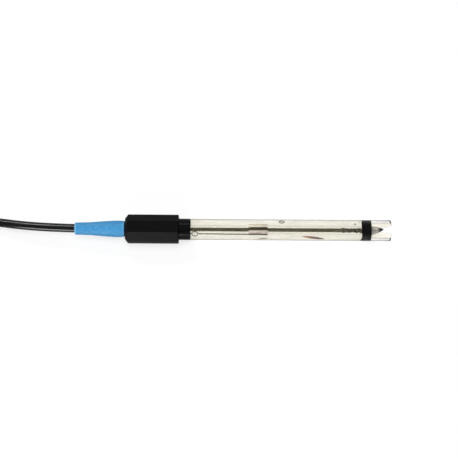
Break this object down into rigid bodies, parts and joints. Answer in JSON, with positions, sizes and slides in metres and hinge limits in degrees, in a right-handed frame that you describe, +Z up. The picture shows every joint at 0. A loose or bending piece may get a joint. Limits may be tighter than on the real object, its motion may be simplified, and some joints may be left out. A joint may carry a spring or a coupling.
{
  "type": "ph electrode",
  "caption": "Combination pH electrode: clear gel-filled tube with a slotted bulb guard, octagonal black cap, blue strain relief and a tied cable with a bayonet plug.",
  "frame": {"origin": "under the middle of the electrode, half way from the strain relief's cable end to the guard's rim, on the surface that the cap's lowest flat rests on", "axes": "+X along the electrode towards its sensing tip, +Z up from the surface it lies on"},
  "size_m": [0.3299, 0.0454, 0.025],
  "materials": {
    "clear_body": "clear polycarbonate, polished",
    "lab_glass": "thin blown laboratory glass",
    "silver_wire": "silver wire darkened by silver chloride",
    "silver_chloride": "mauve-grey silver chloride coat",
    "buffer": "clear buffer solution",
    "gel": "pale yellow gel electrolyte",
    "black_sealant": "cast black sealant, satin",
    "stopper_rubber": "moulded grey rubber",
    "porous_ceramic": "porous white ceramic",
    "cap_black": "moulded black plastic, satin",
    "potting_resin": "cast epoxy",
    "boot_blue": "moulded blue flexible PVC, satin",
    "cable_black": "extruded black PVC jacket, slightly glossy",
    "strap_black": "woven hook and loop strap",
    "copper": "bare and braided copper",
    "polythene": "natural polythene",
    "tinned": "tinned crimp sleeve",
    "nickel": "nickel-plated turned brass",
    "ptfe": "white fluoropolymer",
    "gold": "gold-plated contact",
    "gasket_red": "red silicone rubber",
    "spring_steel": "spring steel",
    "boot_black": "moulded black rubber, matt"
  },
  "bodies": {
    "electrode": {"body_tube": "clear_body", "glass_stem": "lab_glass", "inner_wire": "silver_wire", "reference_wire": "silver_wire", "reference_element": "silver_chloride", "inner_buffer": "buffer", "electrolyte_gel": "gel", "tip_seal": "black_sealant", "stem_stopper": "stopper_rubber", "gel_bung": "stopper_rubber", "junction_pin": "porous_ceramic", "cap": "cap_black", "potting": "potting_resin", "strain_relief": "boot_blue", "cable": "cable_black", "cable_hank": "cable_black", "cable_tail": "cable_black", "hank_strap": "strap_black", "core_conductor": "copper", "cable_braid": "copper", "core_dielectric": "polythene", "core_splice": "tinned", "reference_splice": "tinned", "plug_body": "nickel", "plug_ferrule": "nickel", "plug_insulator": "ptfe", "plug_pin": "gold", "plug_gasket": "gasket_red", "plug_spring_washer": "spring_steel", "plug_boot": "boot_black"},
    "coupling_ring": {"plug_ring": "nickel"}
  },
  "joints": [
    {"name": "coupling_ring_turn", "type": "hinge", "parent": "electrode", "child": "coupling_ring", "pos_m": [-0.1505, -0.027, 0.01775], "axis": [1, 0, 0], "continuous": true}
  ]
}
